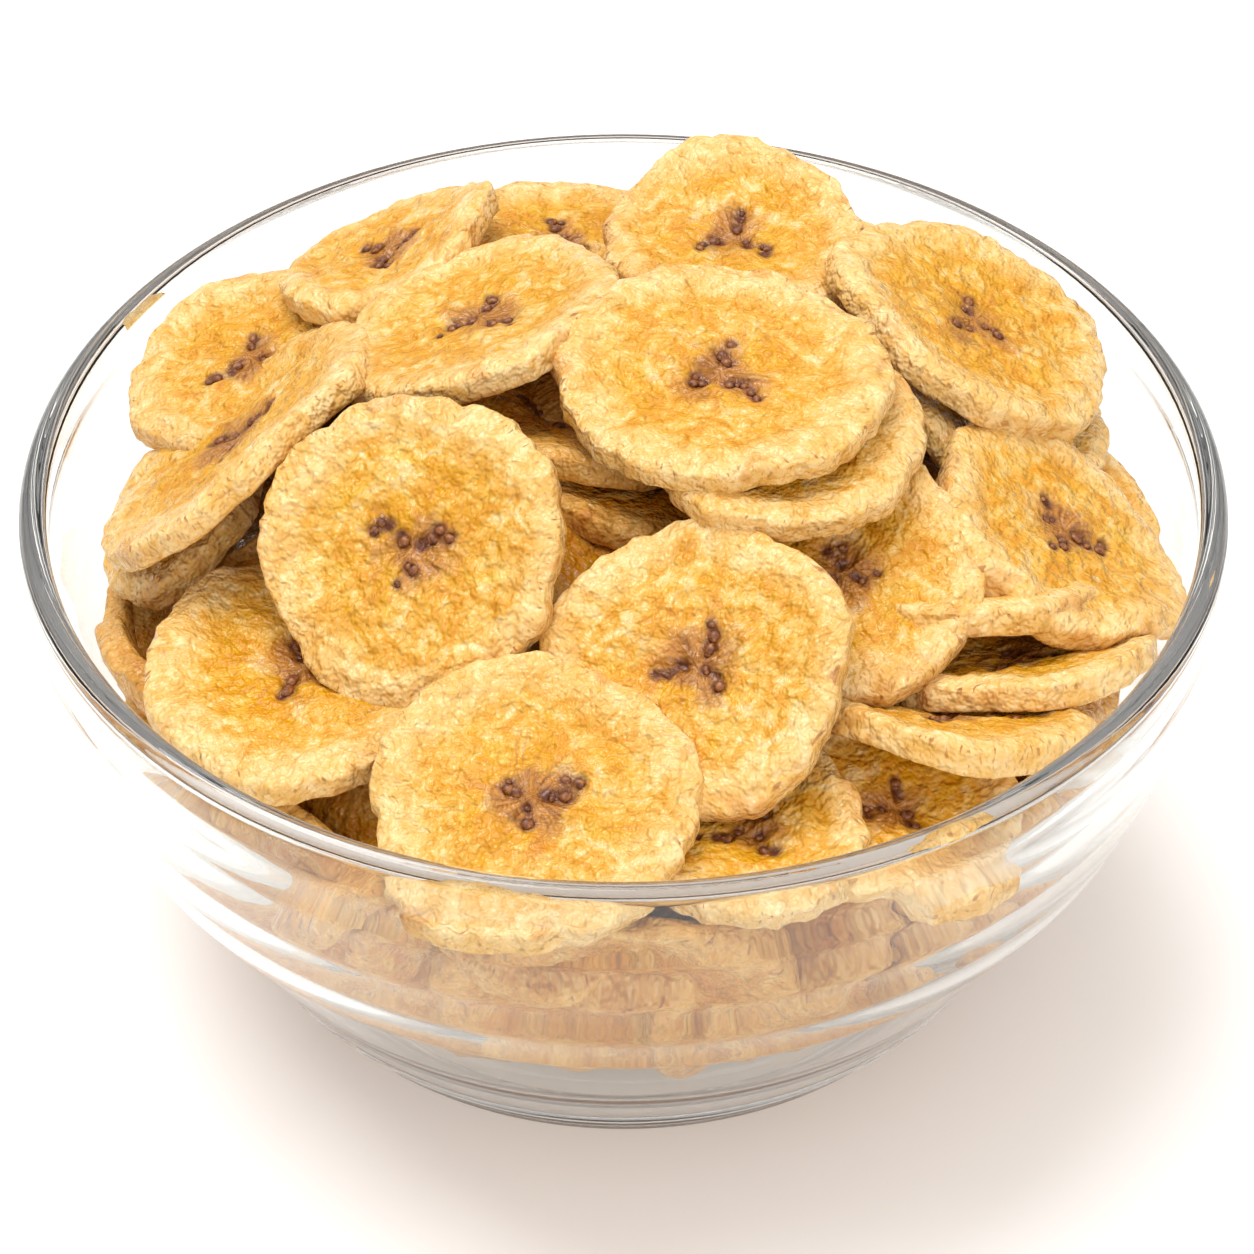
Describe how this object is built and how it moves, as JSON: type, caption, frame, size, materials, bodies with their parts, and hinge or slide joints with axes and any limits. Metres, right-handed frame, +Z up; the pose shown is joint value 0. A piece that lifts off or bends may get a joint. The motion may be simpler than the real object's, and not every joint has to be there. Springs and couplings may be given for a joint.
{
  "type": "bowl of banana crisps",
  "caption": "Clear banded glass bowl on a stepped foot, heaped above its rim with overlapping round fried banana slices.",
  "frame": {"origin": "on the floor, under the middle of the bowl's foot", "axes": "+Z up; -Y towards the front, where the glass shows a slice face-on under the rim; +X to the right"},
  "size_m": [0.14, 0.14, 0.0815],
  "materials": {
    "clear_glass": "clear pressed glass, fire polished, faint grey-green at its edges",
    "fried_banana": "food: fried banana slices, cream-yellow rims, golden fibrous middles, dark seeds, a thin gloss of oil"
  },
  "bodies": {
    "root": {"glass_bowl": "clear_glass", "crisps_heap": "fried_banana"}
  },
  "joints": []
}
